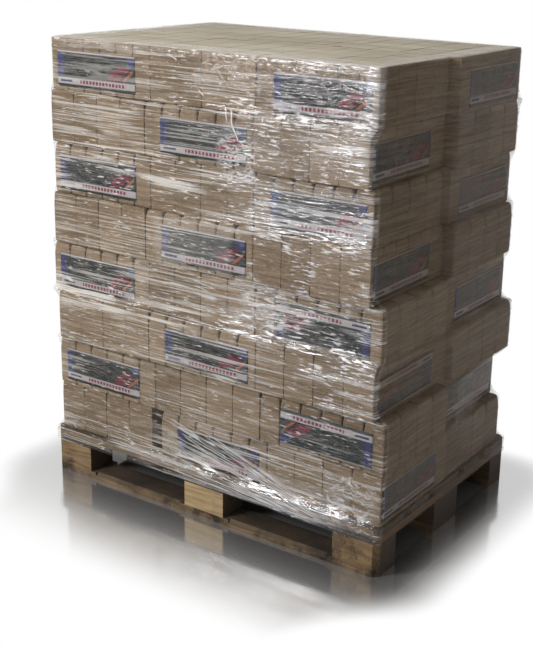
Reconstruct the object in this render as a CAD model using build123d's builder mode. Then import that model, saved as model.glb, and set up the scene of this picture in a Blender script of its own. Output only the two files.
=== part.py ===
"""Pallet load of pressed wood briquettes, wrapped in clear stretch film.

Millimetres, +Z up. The origin is the centre of the pallet's underside, X runs along the
1200 mm side and the front of the load looks towards -Y.
"""

from build123d import *
import math
import os

os.makedirs("parts", exist_ok=True)

# Flat pallet, 1200 x 800: boards, blocks and the cut at its corners
pallet_length = 1200
pallet_width = 800
board_thickness = 22
wide_board = 145
narrow_board = 100
block_length = 145
block_height = 78
corner_cut = 16
entry_bevel = 11
entry_bevel_margin = 20

# Packs of six by two briquettes on end, made as long as a chequer of blocks on the deck allows
load_margin_length = 83
load_margin_width = 61
pair_short_by = 17
briquettes_along = 6
briquettes_across = 2
briquette_height = 154
briquette_bevel = 7
pack_gap = 1

# Eight layers, bottom first: how far each hand-laid row ends short of the deck's ends, where
# the front row's middle block lies, the slot left open beside it, and how the layer lies
# between the deck's long sides
front_inset_left = [14, 15, 32, 5, 19, 20, 19, 23]
front_inset_right = [6, 0, 30, 21, 60, 61, 79, 58]
front_middle = [20, 0, -10, -20, -26, -20, -30, -17]
front_slot = [35, 0, 0, 0, 0, 0, 0, 0]
back_inset_left = [41, 28, 35, 28, 16, 29, 9, 40]
back_inset_right = [10, 40, 5, 31, 20, 39, 32, 24]
depth_margin = [58, 60, 11, 49, 31, 43, 17, 54]
depth_shift = [-11, -17, -7, -11, -9, -7, 2, -12]

# Printed paper label on each pack side that looks outwards
label_margin = 39
label_drop = 36
label_rise = 14
label_thickness = 0.4
label_shift_front = [-15, 20, 18]
label_shift_right = [-32, 18]
label_shift_hidden = 18

# Stretch film, drawn far thicker than the real web
label_to_film = 0.4
film_wall = 1
film_corner_ease = 2
film_top_lip = 70
film_skirt = 25

deck_top = 3 * board_thickness + block_height
block_base = board_thickness
cross_base = board_thickness + block_height
deck_base = deck_top - board_thickness
deck_gap = (pallet_width - 3 * wide_board - 2 * narrow_board) / 4
layer_count = len(front_middle)

# Along the deck a row is two pack lengths and a pair of packs, and across it one length
# and a pair. The pack is the longest that fits both ways.
load_length = pallet_length - load_margin_length
load_width = pallet_width - load_margin_width
pack_length = min((load_length + pair_short_by) / 3, (load_width + pair_short_by) / 2)
pair_width = pack_length - pair_short_by
label_length = pack_length - 2 * label_margin
label_height = briquette_height - label_rise - label_drop
film_clearance = label_thickness + label_to_film
film_corner = briquette_bevel + film_corner_ease


# Pallet
# Three lines of blocks carry cross boards, and the deck boards lie over those.
block_lines_x = {
    "left": -(pallet_length - block_length) / 2,
    "middle": 0,
    "right": (pallet_length - block_length) / 2,
}
block_lines_y = {
    "front": -(pallet_width - narrow_board) / 2,
    "middle": 0,
    "back": (pallet_width - narrow_board) / 2,
}
line_width = {"front": narrow_board, "middle": wide_board, "back": narrow_board}
outward = {"front": -1, "left": -1, "middle": 0, "right": 1, "back": 1}


def corner_edges(part, side_x, side_y):
    """Upright edges at the pallet's own corners, on the given sides (-1, 0 for both, 1)."""
    edges = []
    for edge in part.edges().filter_by(Axis.Z):
        spot = edge.center()
        at_end = abs(abs(spot.X) - pallet_length / 2) < 0.01 and spot.X * side_x >= 0
        at_side = abs(abs(spot.Y) - pallet_width / 2) < 0.01 and spot.Y * side_y >= 0
        if at_end and at_side:
            edges.append(edge)
    return edges


deck_widths = [wide_board, narrow_board, wide_board, narrow_board, wide_board]
deck_names = ["front", "front_inner", "middle", "back_inner", "back"]
board_edge = -pallet_width / 2
for name, width in zip(deck_names, deck_widths):
    with BuildPart() as top_board:
        with Locations((0, board_edge + width / 2, deck_base)):
            Box(
                pallet_length,
                width,
                board_thickness,
                align=(Align.CENTER, Align.CENTER, Align.MIN),
            )
        corners = corner_edges(top_board.part, 0, 0)
        if corners:
            chamfer(corners, corner_cut)
    top_board.part.label = f"top_board_{name}"
    export_step(top_board.part, f"parts/top_board_{name}.step")
    board_edge += width + deck_gap

for name, x in block_lines_x.items():
    with BuildPart() as cross_board:
        with Locations((x, 0, cross_base)):
            Box(
                block_length,
                pallet_width,
                board_thickness,
                align=(Align.CENTER, Align.CENTER, Align.MIN),
            )
        corners = corner_edges(cross_board.part, outward[name], 0)
        if corners:
            chamfer(corners, corner_cut)
    cross_board.part.label = f"cross_board_{name}"
    export_step(cross_board.part, f"parts/cross_board_{name}.step")

for line, y in block_lines_y.items():
    for name, x in block_lines_x.items():
        with BuildPart() as block:
            with Locations((x, y, block_base)):
                Box(
                    block_length,
                    line_width[line],
                    block_height,
                    align=(Align.CENTER, Align.CENTER, Align.MIN),
                )
            corners = corner_edges(block.part, outward[name], outward[line])
            if corners:
                chamfer(corners, corner_cut)
        block.part.label = f"block_{line}_{name}"
        export_step(block.part, f"parts/block_{line}_{name}.step")

# The bottom boards' upper edges are bevelled between the blocks, so that the wheels of a
# pallet truck roll over them.
entry_span = (pallet_length - 3 * block_length) / 2 - 2 * entry_bevel_margin
entry_middle = (pallet_length - block_length) / 4
entry_diamond = math.sqrt(2) * entry_bevel
for line, y in block_lines_y.items():
    half_width = line_width[line] / 2
    with BuildPart() as bottom_board:
        with Locations((0, y, 0)):
            Box(
                pallet_length,
                line_width[line],
                board_thickness,
                align=(Align.CENTER, Align.CENTER, Align.MIN),
            )
        for entry_x in (-entry_middle, entry_middle):
            with BuildSketch(Plane.YZ.offset(entry_x)):
                with Locations(
                    (y - half_width, board_thickness),
                    (y + half_width, board_thickness),
                ):
                    Rectangle(entry_diamond, entry_diamond, rotation=45)
            extrude(amount=entry_span / 2, both=True, mode=Mode.SUBTRACT)
        corners = corner_edges(bottom_board.part, 0, 0)
        if corners:
            chamfer(corners, corner_cut)
    bottom_board.part.label = f"bottom_board_{line}"
    export_step(bottom_board.part, f"parts/bottom_board_{line}.step")


# Packs
# A block of two packs lies either along the pallet or across it, and the blocks of a layer
# alternate like a chequerboard, turned over from one layer to the next to tie the load.
LONG_FRONT, LONG_BACK, END_LEFT, END_RIGHT = "long_front", "long_back", "end_left", "end_right"
seam_diamond = math.sqrt(2) * briquette_bevel


def pack_solid(length, width, sides):
    """One pack on Z = 0, its length along X, with briquette seams on the named sides."""
    seams_along = [
        length * (step / briquettes_along - 0.5) for step in range(1, briquettes_along)
    ]
    seams_across = [
        width * (step / briquettes_across - 0.5) for step in range(1, briquettes_across)
    ]
    seams = []
    if LONG_FRONT in sides:
        seams += [(x, -width / 2) for x in seams_along]
    if LONG_BACK in sides:
        seams += [(x, width / 2) for x in seams_along]
    if END_LEFT in sides:
        seams += [(-length / 2, y) for y in seams_across]
    if END_RIGHT in sides:
        seams += [(length / 2, y) for y in seams_across]
    with BuildPart() as pack:
        with BuildSketch() as outline:
            Rectangle(length, width)
            chamfer(outline.vertices(), briquette_bevel)
            if seams:
                with Locations(*seams):
                    Rectangle(seam_diamond, seam_diamond, rotation=45, mode=Mode.SUBTRACT)
        extrude(amount=briquette_height)
    return pack.part


def lies_along(layer, column, row):
    """True for a block whose packs lie along the pallet's length."""
    return (layer + 1 + column + row) % 2 == 0


def row_ends(layer, row):
    """Left and right end of a row."""
    inset_left = (front_inset_left, back_inset_left)[row][layer]
    inset_right = (front_inset_right, back_inset_right)[row][layer]
    return inset_left - pallet_length / 2, pallet_length / 2 - inset_right


def middle_length(layer, row):
    """Length of a row's middle block. The bricks lie a little loose, so each of the three
    blocks takes a third of what the row has to spare beside its open slot."""
    left_end, right_end = row_ends(layer, row)
    slot = front_slot[layer] if row == 0 else 0
    outer, inner = pair_width, pack_length
    if lies_along(layer, 0, row):
        outer, inner = pack_length, pair_width
    spare = right_end - left_end - slot - 2 * pack_gap - 2 * outer - inner
    return inner + spare / 3


def row_spans(layer, row):
    """Left and right end of each of the three blocks in a row, from the left. Of the two
    rows' middle blocks the turned one stays within the length of the other."""
    left_end, right_end = row_ends(layer, row)
    length = middle_length(layer, row)
    middle, slot = front_middle[layer], front_slot[layer]
    if row == 1:
        room = abs(length - middle_length(layer, 0)) / 2
        own = (left_end + right_end) / 2
        middle, slot = min(max(own, middle - room), middle + room), 0
    return [
        (left_end, middle - length / 2 - pack_gap - slot),
        (middle - length / 2, middle + length / 2),
        (middle + length / 2 + pack_gap, right_end),
    ]


def layer_faces(layer):
    """Y of the layer's front face and back face."""
    depth = pallet_width - depth_margin[layer]
    return depth_shift[layer] - depth / 2, depth_shift[layer] + depth / 2


def block_depth(layer, column, row):
    """Depth of a block: a pair's or a pack's, and half of what the layer has to spare."""
    spare = pallet_width - depth_margin[layer] - pack_gap - pair_width - pack_length
    depth = pair_width if lies_along(layer, column, row) else pack_length
    return depth + spare / 2


def packs_of(layer):
    """Each pack of a layer as (x, y, length, width, turned, sides that look outwards)."""
    front, back = layer_faces(layer)
    packs = []
    for row in (0, 1):
        inward = 1 if row == 0 else -1
        face = front if row == 0 else back
        for column, (left, right) in enumerate(row_spans(layer, row)):
            depth = block_depth(layer, column, row)
            if lies_along(layer, column, row):
                sides = [[END_LEFT], [], [END_RIGHT]][column]
                outer = LONG_FRONT if row == 0 else LONG_BACK
                length, width = right - left, (depth - pack_gap) / 2
                x = (left + right) / 2
                near = face + inward * width / 2
                far = near + inward * (width + pack_gap)
                packs.append((x, near, length, width, False, sides + [outer]))
                packs.append((x, far, length, width, False, sides))
            else:
                width = (right - left - pack_gap) / 2
                y = face + inward * depth / 2
                end = END_LEFT if row == 0 else END_RIGHT
                first = [end] + ([LONG_BACK] if column == 0 else [])
                second = [end] + ([LONG_FRONT] if column == 2 else [])
                packs.append((left + width / 2, y, depth, width, True, first))
                packs.append((right - width / 2, y, depth, width, True, second))
    return packs


for layer in range(layer_count):
    layer_base = deck_top + layer * briquette_height
    placed_packs = []
    for x, y, length, width, turned, sides in packs_of(layer):
        place = Location((x, y, layer_base), (0, 0, 90 if turned else 0))
        placed_packs.append((place, pack_solid(length, width, sides)))
    with BuildPart() as pack_layer:
        for place, pack in placed_packs:
            with Locations(place):
                add(pack)
    pack_layer.part.label = f"pack_layer_{layer + 1}"
    export_step(pack_layer.part, f"parts/pack_layer_{layer + 1}.step")


# Labels
# A paper label lies on the long side of every pack that looks outwards, under the film.
def label_spots(side):
    """Centre of each label on one side of the load, as (x, y, layer)."""
    spots = []
    for layer in range(layer_count):
        front, back = layer_faces(layer)
        for row in (0, 1):
            spans = row_spans(layer, row)
            for column, (left, right) in enumerate(spans):
                along = lies_along(layer, column, row)
                middle_x = (left + right) / 2
                half_depth = block_depth(layer, column, row) / 2
                middle_y = (front + half_depth) if row == 0 else (back - half_depth)
                if side == "front" and along and row == 0:
                    spots.append((middle_x + label_shift_front[column], front, layer))
                if side == "back" and along and row == 1:
                    spots.append((middle_x - label_shift_hidden, back, layer))
                if side == "left" and not along and column == 0:
                    spots.append((left, middle_y - label_shift_hidden, layer))
                if side == "right" and not along and column == 2:
                    spots.append((right, middle_y + label_shift_right[row], layer))
    return spots


label_aligns = {
    "front": (Align.CENTER, Align.MAX, Align.MIN),
    "back": (Align.CENTER, Align.MIN, Align.MIN),
    "left": (Align.MAX, Align.CENTER, Align.MIN),
    "right": (Align.MIN, Align.CENTER, Align.MIN),
}
for side, label_align in label_aligns.items():
    along_x = side in ("front", "back")
    with BuildPart() as labels:
        for x, y, layer in label_spots(side):
            with Locations((x, y, deck_top + layer * briquette_height + label_rise)):
                Box(
                    label_length if along_x else label_thickness,
                    label_thickness if along_x else label_length,
                    label_height,
                    align=label_align,
                )
    labels.part.label = f"labels_{side}"
    export_step(labels.part, f"parts/labels_{side}.step")


# Stretch film
# The film is one skin that steps in and out with the layers, folds over the top edge and
# comes down round the pallet's deck. In plan each layer's film is the hull of its two rows,
# drawn in by the corner radius and let out again with round corners.
def film_outline(layer, grow):
    """Plan of one layer's film, let out from the packs by the given amount."""
    front, back = layer_faces(layer)
    front_spans = row_spans(layer, 0)
    back_spans = row_spans(layer, 1)
    front_left, front_right = front_spans[0][0] + film_corner, front_spans[2][1] - film_corner
    back_left, back_right = back_spans[0][0] + film_corner, back_spans[2][1] - film_corner
    if back_right > front_right:
        right_knee = (back_right, back - block_depth(layer, 2, 1) + film_corner)
    else:
        right_knee = (front_right, front + block_depth(layer, 2, 0) - film_corner)
    if back_left < front_left:
        left_knee = (back_left, back - block_depth(layer, 0, 1) + film_corner)
    else:
        left_knee = (front_left, front + block_depth(layer, 0, 0) - film_corner)
    with BuildSketch() as plan:
        with BuildLine():
            Polyline(
                (front_left, front + film_corner),
                (front_right, front + film_corner),
                right_knee,
                (back_right, back - film_corner),
                (back_left, back - film_corner),
                left_knee,
                close=True,
            )
        make_face()
        offset(amount=film_corner + grow, kind=Kind.ARC)
    return plan.sketch


def deck_outline(grow):
    """Plan of the film round the pallet's deck."""
    with BuildSketch() as plan:
        RectangleRounded(pallet_length + 2 * grow, pallet_width + 2 * grow, film_corner + grow)
    return plan.sketch


inner_plans = [film_outline(layer, film_clearance) for layer in range(layer_count)]
outer_plans = [film_outline(layer, film_clearance + film_wall) for layer in range(layer_count)]
mouth_plan = film_outline(layer_count - 1, -film_top_lip)
skirt_base = deck_base - film_skirt
with BuildPart() as stretch_film:
    for layer, plan in enumerate(outer_plans):
        base = deck_top + layer * briquette_height - film_clearance - film_wall
        with BuildSketch(Plane.XY.offset(base)):
            add(plan)
        extrude(amount=briquette_height + 2 * (film_clearance + film_wall))
    with BuildSketch(Plane.XY.offset(skirt_base)):
        add(deck_outline(film_clearance + film_wall))
    extrude(amount=deck_top + film_clearance + film_wall - skirt_base)
    for layer, plan in enumerate(inner_plans):
        base = deck_top + layer * briquette_height - film_clearance
        with BuildSketch(Plane.XY.offset(base)):
            add(plan)
        extrude(amount=briquette_height + 2 * film_clearance, mode=Mode.SUBTRACT)
    with BuildSketch(Plane.XY.offset(skirt_base)):
        add(deck_outline(film_clearance))
    extrude(amount=deck_top + film_clearance - skirt_base, mode=Mode.SUBTRACT)
    with BuildSketch(Plane.XY.offset(deck_top + layer_count * briquette_height)):
        add(mouth_plan)
    extrude(amount=film_clearance + film_wall, mode=Mode.SUBTRACT)
stretch_film.part.label = "stretch_film"
export_step(stretch_film.part, "parts/stretch_film.step")
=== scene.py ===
"""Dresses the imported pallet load: sawn pallet, pressed briquettes, printed labels, film."""

import bpy
import numpy as np
from mathutils import Matrix


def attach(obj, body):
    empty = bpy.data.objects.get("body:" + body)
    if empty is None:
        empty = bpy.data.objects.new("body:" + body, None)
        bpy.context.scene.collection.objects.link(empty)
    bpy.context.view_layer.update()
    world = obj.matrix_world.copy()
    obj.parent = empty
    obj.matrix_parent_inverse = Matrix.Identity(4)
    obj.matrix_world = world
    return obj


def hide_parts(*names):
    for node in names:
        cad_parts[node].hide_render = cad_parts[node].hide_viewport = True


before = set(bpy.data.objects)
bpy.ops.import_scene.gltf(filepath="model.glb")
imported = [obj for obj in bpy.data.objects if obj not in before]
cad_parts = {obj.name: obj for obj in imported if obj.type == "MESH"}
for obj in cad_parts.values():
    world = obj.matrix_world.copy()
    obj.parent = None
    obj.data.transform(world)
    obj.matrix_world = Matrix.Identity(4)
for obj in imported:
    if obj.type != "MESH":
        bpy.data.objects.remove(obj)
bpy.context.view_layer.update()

# Pallet boards
# Sawn softwood boards of a much used flat pallet. Saw marks and growth lines run with each
# board's length, and the faces are grey with handling and dirt.
timber_pale = (0.30, 0.20, 0.115, 1)
timber_deep = (0.12, 0.07, 0.037, 1)
timber_grey = (0.17, 0.145, 0.115, 1)
# A near-black brown for dirt, also used for painted shade on end faces
timber_dirt_and_shade = (0.035, 0.026, 0.02, 1)


def add_node(tree, kind, inputs=None, **settings):
    """A new shader node; inputs maps a socket's name or number to a value or to an output."""
    made = tree.nodes.new(kind)
    for key, value in settings.items():
        setattr(made, key, value)
    for key, value in (inputs or {}).items():
        if isinstance(value, bpy.types.NodeSocket):
            tree.links.new(value, made.inputs[key])
        else:
            made.inputs[key].default_value = value
    return made


def tree_of(*values):
    """The node tree that the sockets among these values belong to."""
    return next(v.id_data for v in values if isinstance(v, bpy.types.NodeSocket))


def calc(operation, *values, clamp=False):
    """The result of one Math node on the values in their order."""
    settings = dict(operation=operation, use_clamp=clamp)
    return add_node(
        tree_of(*values), "ShaderNodeMath", dict(enumerate(values)), **settings
    ).outputs[0]


def times(value, factor):
    """value * factor"""
    return calc("MULTIPLY", value, factor)


def times_plus(value, factor, more):
    """value * factor + more"""
    return calc("MULTIPLY_ADD", value, factor, more)


def product(first, *others):
    """All values multiplied."""
    for other in others:
        first = times(first, other)
    return first


def largest(first, *others):
    """The largest value."""
    for other in others:
        first = calc("MAXIMUM", first, other)
    return first


def distance(x, y):
    """sqrt(x * x + y * y)"""
    return calc("SQRT", times_plus(x, x, times(y, y)))


def blend_colour(factor, first, second):
    """Colour between first (factor 0) and second (factor 1)."""
    tree = tree_of(factor, first, second)
    inputs = {0: factor, 6: first, 7: second}
    return add_node(tree, "ShaderNodeMix", inputs, data_type="RGBA").outputs[2]


def ramp(value, low, high):
    """0 where value is at or under low, 1 where it is at or over high, eased between."""
    inputs = {0: value, 1: low, 2: high}
    kind = "ShaderNodeMapRange"
    return add_node(tree_of(value), kind, inputs, interpolation_type="SMOOTHSTEP").outputs[0]


def stretch(vector, scale, place=(0, 0, 0)):
    """Coordinates made denser along each axis by scale and then moved by place."""
    inputs = {"Vector": vector, "Scale": scale, "Location": place}
    return add_node(tree_of(vector), "ShaderNodeMapping", inputs).outputs[0]


def swung(vector, turn):
    """Coordinates turned about the third axis."""
    inputs = {"Vector": vector, "Rotation": (0, 0, turn)}
    return add_node(tree_of(vector), "ShaderNodeMapping", inputs).outputs[0]


def paired(first, second):
    """Coordinates made of two numbers."""
    tree = tree_of(first, second)
    return add_node(tree, "ShaderNodeCombineXYZ", {0: first, 1: second}).outputs[0]


def of_vectors(operation, first, second, found=0):
    """One vector operation; found names the output that is asked for."""
    inputs = {0: first, 1: second}
    kind = "ShaderNodeVectorMath"
    return add_node(tree_of(first), kind, inputs, operation=operation).outputs[found]


def axes(vector):
    """The three numbers of a vector."""
    return add_node(tree_of(vector), "ShaderNodeSeparateXYZ", {0: vector}).outputs


def cloud(vector, scale, detail, roughness=0.55, place=(0, 0, 0), kind="3D"):
    """Value of a fractal noise with about scale lumps to a unit of the coordinates. A scale
    may be one number, or one for each axis, and then the noise is also moved by place."""
    if isinstance(scale, tuple):
        vector, scale = stretch(vector, scale, place), 1.0
    inputs = {"Vector": vector, "Scale": scale, "Detail": detail, "Roughness": roughness}
    tree = tree_of(vector)
    return add_node(tree, "ShaderNodeTexNoise", inputs, noise_dimensions=kind).outputs[0]


def cells_of(vector, scale):
    """Outputs of a Voronoi noise with scale cells to a unit along each axis."""
    inputs = {"Vector": stretch(vector, scale), "Scale": 1.0}
    return add_node(tree_of(vector), "ShaderNodeTexVoronoi", inputs).outputs


def effect_group(name, inputs, outputs):
    """An empty node group with named sockets; it returns tree, input node and output node."""
    tree = bpy.data.node_groups.new(name, "ShaderNodeTree")
    kinds = {"vector": "NodeSocketVector", "value": "NodeSocketFloat", "colour": "NodeSocketColor"}
    for socket, kind in inputs.items():
        tree.interface.new_socket(socket, in_out="INPUT", socket_type=kinds[kind])
    for socket, kind in outputs.items():
        tree.interface.new_socket(socket, in_out="OUTPUT", socket_type=kinds[kind])
    return tree, tree.nodes.new("NodeGroupInput"), tree.nodes.new("NodeGroupOutput")


def use_group(group, **inputs):
    """One effect group placed in a material with its own values; it returns its outputs."""
    tree = tree_of(*inputs.values())
    return add_node(tree, "ShaderNodeGroup", inputs, node_tree=group).outputs


def feed(node, **values):
    """Links each value to the node's input of that name."""
    for name, value in values.items():
        node.id_data.links.new(value, node.inputs[name.replace("_", " ")])


def new_material(name, **constants):
    """A material with one Principled shader; it returns material, tree, shader and Object
    coordinates. Constants are set on the shader's own sockets."""
    made = bpy.data.materials.new(name)
    made.use_nodes = True
    tree = made.node_tree
    shader = tree.nodes["Principled BSDF"]
    for key, value in constants.items():
        shader.inputs[key.replace("_", " ")].default_value = value
    place = add_node(tree, "ShaderNodeTexCoord").outputs["Object"]
    return made, tree, shader, place


def bumped(height, depth):
    """A normal from a height of the given depth in metres."""
    inputs = {"Height": height, "Distance": depth, "Strength": 1.0}
    return add_node(tree_of(height), "ShaderNodeBump", inputs).outputs[0]


def sawn_grain_group():
    """Growth lines are a sine of the distance from a wandering heart line, drawn out along
    the first axis; fibres are a fine noise drawn out more; knots are cells' round centres."""
    tree, given, result = effect_group(
        "sawn grain",
        {"Vector": "vector"},
        {"Rings": "value", "Fibres": "value", "Knots": "value", "Tone": "value"},
    )
    vector = given.outputs["Vector"]
    wide = cloud(vector, (0.5, 9, 9), 2, place=(3, 1, 2))
    sway = times_plus(cloud(vector, (1.1, 5, 5), 3), 9.0, times(wide, 26.0))
    rings = calc("SINE", times(sway, 3.6))
    knots = ramp(cells_of(vector, (3.1, 9, 9))["Distance"], 0.13, 0.06)
    feed(result, Rings=times_plus(rings, 0.5, 0.5), Knots=knots)
    feed(result, Fibres=cloud(vector, (7, 420, 420), 3, 0.7))
    feed(result, Tone=cloud(vector, (1.5, 6, 6), 2, place=(7, 3, 5)))
    return tree


def soil_group():
    """Dirt is a patchy noise past a threshold that Amount lowers, with fine specks added."""
    tree, given, result = effect_group(
        "soil", {"Vector": "vector", "Amount": "value"}, {"Soil": "value"}
    )
    vector = given.outputs["Vector"]
    dirt = times_plus(cloud(vector, 130, 3, 0.6), 0.22, cloud(vector, 9, 5, 0.65))
    dirt = calc("ADD", dirt, given.outputs["Amount"])
    feed(result, Soil=ramp(dirt, 0.78, 1.04))
    return tree


sawn_grain = sawn_grain_group()
soil = soil_group()


def timber_material(name, turn, pale, deep, grey, dirty):
    """Sawn timber with its grain along X (turn 0) or Y (turn a quarter). Pale and deep are
    mixed by the growth lines, greyed in patches and soiled."""
    made, tree, shader, place = new_material(name, Specular_IOR_Level=0.3)
    grain = use_group(sawn_grain, Vector=swung(place, turn))
    lines = times_plus(grain["Rings"], 0.45, 0.1)
    lines = times_plus(grain["Tone"], 0.35, lines)
    colour = blend_colour(lines, pale, deep)
    colour = blend_colour(grain["Knots"], colour, (0.07, 0.035, 0.018, 1))
    weather = ramp(cloud(place, 6, 3), 0.38, 0.66)
    colour = blend_colour(times(weather, grey), colour, timber_grey)
    fibre_dark = ramp(grain["Fibres"], 0.62, 0.42)
    colour = blend_colour(times(fibre_dark, 0.35), colour, timber_dirt_and_shade)
    facing = add_node(tree, "ShaderNodeNewGeometry").outputs["Normal"]
    # End grain is darker, and these ends are darkened much further as painted shade of the unlit
    # end faces
    end_grain_and_shade = ramp(calc("ABSOLUTE", axes(swung(facing, turn))[0]), 0.5, 0.95)
    colour = blend_colour(times(end_grain_and_shade, 0.86), colour, timber_dirt_and_shade)
    # Faces that look up are darkened towards the dark timber colour
    facing_up = ramp(axes(facing)[2], 0.4, 0.9)
    colour = blend_colour(times(facing_up, 0.85), colour, timber_dirt_and_shade)
    dirt = use_group(soil, Vector=place, Amount=dirty)[0]
    colour = blend_colour(dirt, colour, timber_dirt_and_shade)
    feed(shader, Base_Color=colour, Roughness=times_plus(grain["Fibres"], 0.25, 0.62))
    height = times_plus(grain["Rings"], 0.25, grain["Fibres"])
    feed(shader, Normal=bumped(height, 0.0012))
    return made


def dress(node, material):
    """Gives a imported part's own mesh a better material."""
    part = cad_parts[node]
    for place in part.material_slots:
        place.material = material
    if not part.material_slots:
        part.data.materials.append(material)


quarter_turn = np.pi / 2
deck_timber = timber_material("deck timber", 0, timber_pale, timber_deep, 0.55, 0.12)
cross_timber = timber_material(
    "cross board timber", quarter_turn, timber_pale, timber_deep, 0.4, 0.16
)
runner_timber = timber_material(
    "runner timber", 0, (0.46, 0.32, 0.18, 1), (0.21, 0.125, 0.062, 1), 0.25, 0.27
)
for name in ("front", "front_inner", "middle", "back_inner", "back"):
    dress(f"top_board_{name}", deck_timber)
for name in ("left", "middle", "right"):
    dress(f"cross_board_{name}", cross_timber)
for name in ("front", "middle", "back"):
    dress(f"bottom_board_{name}", runner_timber)

# Pallet blocks
# Solid softwood blocks nailed between the boards. The fresh ones are honey yellow and the
# older ones brown, with dark bruises where forks and chains have struck them.
fresh_block = ((0.84, 0.63, 0.36, 1), (0.48, 0.31, 0.15, 1), 0.1, 0.08)
worn_block = ((0.48, 0.335, 0.18, 1), (0.24, 0.135, 0.062, 1), 0.2, 0.24)
# The two blocks seen only on the right end get a far darker brown, painted shade of that unlit end
shaded_end_block = ((0.16, 0.10, 0.06, 1), (0.07, 0.042, 0.026, 1), 0.4, 0.16)
block_ages = {
    "front": (worn_block, fresh_block, worn_block),
    "middle": (worn_block, fresh_block, shaded_end_block),
    "back": (worn_block, worn_block, shaded_end_block),
}
block_timbers = {}
for line, ages in block_ages.items():
    for name, age in zip(("left", "middle", "right"), ages):
        if id(age) not in block_timbers:
            block_timbers[id(age)] = timber_material(
                f"block timber {len(block_timbers) + 1}", 0, *age
            )
        dress(f"block_{line}_{name}", block_timbers[id(age)])

# Pallet nails
# Three nails hold the boards on each block, driven from above through the deck and from below
# through the bottom boards. Their heads lie all but flush with the wood.
nail_radius, nail_rise, nail_sides = 0.0045, 0.0003, 12
nail_lines = np.array([(x, y) for x in (-0.5275, 0.0, 0.5275) for y in (-0.35, 0.0, 0.35)])
nail_spots = np.array([(-0.045, 0.018), (0.0, -0.018), (0.045, 0.018)])


def nail_heads(name, level, way):
    """Flat cones: a ring of nail_radius at the level and a middle nail_rise beyond it, at
    three spots on every block. Way is 1 for heads that look up and -1 for down."""
    places = (nail_lines[:, None] + nail_spots).reshape(-1, 2)
    turn = np.arange(nail_sides) * 2 * np.pi / nail_sides
    ring = np.stack([np.cos(turn), way * np.sin(turn), 0 * turn], -1) * nail_radius
    head = np.concatenate([ring, [(0, 0, way * nail_rise)]])
    points = head + np.pad(places, ((0, 0), (0, 1)), constant_values=level)[:, None]
    one = np.arange(nail_sides)
    cone = np.stack([one, (one + 1) % nail_sides, np.full(nail_sides, nail_sides)], -1)
    faces = cone + len(head) * np.arange(len(places))[:, None, None]
    mesh = bpy.data.meshes.new(name)
    mesh.from_pydata(points.reshape(-1, 3).tolist(), [], faces.reshape(-1, 3).tolist())
    return bpy.data.objects.new(name, mesh)


nail_steel, tree, shader, place = new_material("nail steel", Specular_IOR_Level=0.4)
rust = ramp(cloud(place, 400, 3), 0.4, 0.6)
colour = blend_colour(rust, (0.26, 0.25, 0.24, 1), (0.13, 0.055, 0.03, 1))
feed(shader, Base_Color=colour, Metallic=times_plus(rust, -0.8, 0.9))
feed(shader, Roughness=times_plus(rust, 0.3, 0.5))
for name, level, way in (("nail_heads_deck", 0.144, 1), ("nail_heads_underside", 0.0, -1)):
    nails = nail_heads(name, level, way)
    nails.data.materials.append(nail_steel)
    bpy.context.collection.objects.link(nails)
    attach(nails, "root")

# Briquettes
# Each pack holds six by two bricks of pressed wood chips on end. They have eased edges, so
# dark notches show between them, and no two came out of the press in quite the same tone.
deck_top = 0.144
layer_height = 0.154
layer_count = 8
pallet_length, pallet_width = 1.2, 0.8
pack_length, pair_width, pack_gap = 0.378, 0.361, 0.001
inset_left = 0.001 * np.array([[14, 15, 32, 5, 19, 20, 19, 23], [41, 28, 35, 28, 16, 29, 9, 40]])
inset_right = 0.001 * np.array([[6, 0, 30, 21, 60, 61, 79, 58], [10, 40, 5, 31, 20, 39, 32, 24]])
front_middle = 0.001 * np.array([20, 0, -10, -20, -26, -20, -30, -17])
open_slot = 0.001 * np.array([[35, 0, 0, 0, 0, 0, 0, 0], [0] * 8])
layer_depth = pallet_width - 0.001 * np.array([58, 60, 11, 49, 31, 43, 17, 54])
depth_shift = 0.001 * np.array([-11, -17, -7, -11, -9, -7, 2, -12])
front_face = depth_shift - layer_depth / 2
back_face = depth_shift + layer_depth / 2
row_left = inset_left - pallet_length / 2
row_right = pallet_length / 2 - inset_right
# Row 0 is the front one. In every other layer its outer blocks lie along the pallet, and the
# back row is turned over against it. Blocks share what a row has to spare in thirds.
outer_along = (np.arange(layer_count) + 1 + np.array([[0], [1]])) % 2 == 0
outer_length = np.where(outer_along, pack_length, pair_width)
inner_length = np.where(outer_along, pair_width, pack_length)
row_spare = row_right - row_left - open_slot - 2 * (pack_gap + outer_length) - inner_length
middle_length = inner_length + row_spare / 3
middle_room = np.abs(middle_length[1] - middle_length[0]) / 2
row_middle = np.stack(
    [
        front_middle,
        np.clip(
            (row_left[1] + row_right[1]) / 2,
            front_middle - middle_room,
            front_middle + middle_room,
        ),
    ]
)
depth_spare = layer_depth - pack_gap - pair_width - pack_length


def blocks_of(layer):
    """The six blocks of a layer as (row, column, left, right, depth, lies along)."""
    found = []
    for row in (0, 1):
        low = row_middle[row][layer] - middle_length[row][layer] / 2
        high = row_middle[row][layer] + middle_length[row][layer] / 2
        edges = (
            (row_left[row][layer], low - pack_gap - open_slot[row][layer]),
            (low, high),
            (high + pack_gap, row_right[row][layer]),
        )
        for column, (left, right) in enumerate(edges):
            along = bool(outer_along[row][layer]) == (column != 1)
            depth = (pair_width if along else pack_length) + depth_spare[layer] / 2
            found.append((row, column, left, right, depth, along))
    return found


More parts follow.
